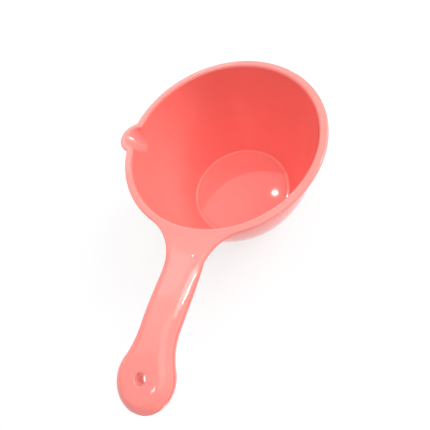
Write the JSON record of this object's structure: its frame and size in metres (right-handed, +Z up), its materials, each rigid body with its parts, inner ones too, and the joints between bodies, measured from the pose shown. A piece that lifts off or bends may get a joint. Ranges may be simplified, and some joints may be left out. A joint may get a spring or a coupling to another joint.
{
  "type": "water dipper",
  "caption": "Round plastic water dipper with a turned-down lip, a pouring lip on one side and a hollow rising handle that ends in a round knob with a hanging hole.",
  "frame": {"origin": "centre of the foot ring under the bowl, on the bowl's axis", "axes": "+Z up out of the bowl's mouth, +X from the bowl's axis along the handle, the pouring lip towards -Y"},
  "size_m": [0.2959, 0.1892, 0.1155],
  "materials": {
    "coral_plastic": "glossy coral pink, moulded",
    "coral_plastic_back": "glossy coral pink, moulded"
  },
  "bodies": {
    "root": {"dipper_body": "coral_plastic", "handle_back_cover": "coral_plastic_back"}
  },
  "joints": []
}
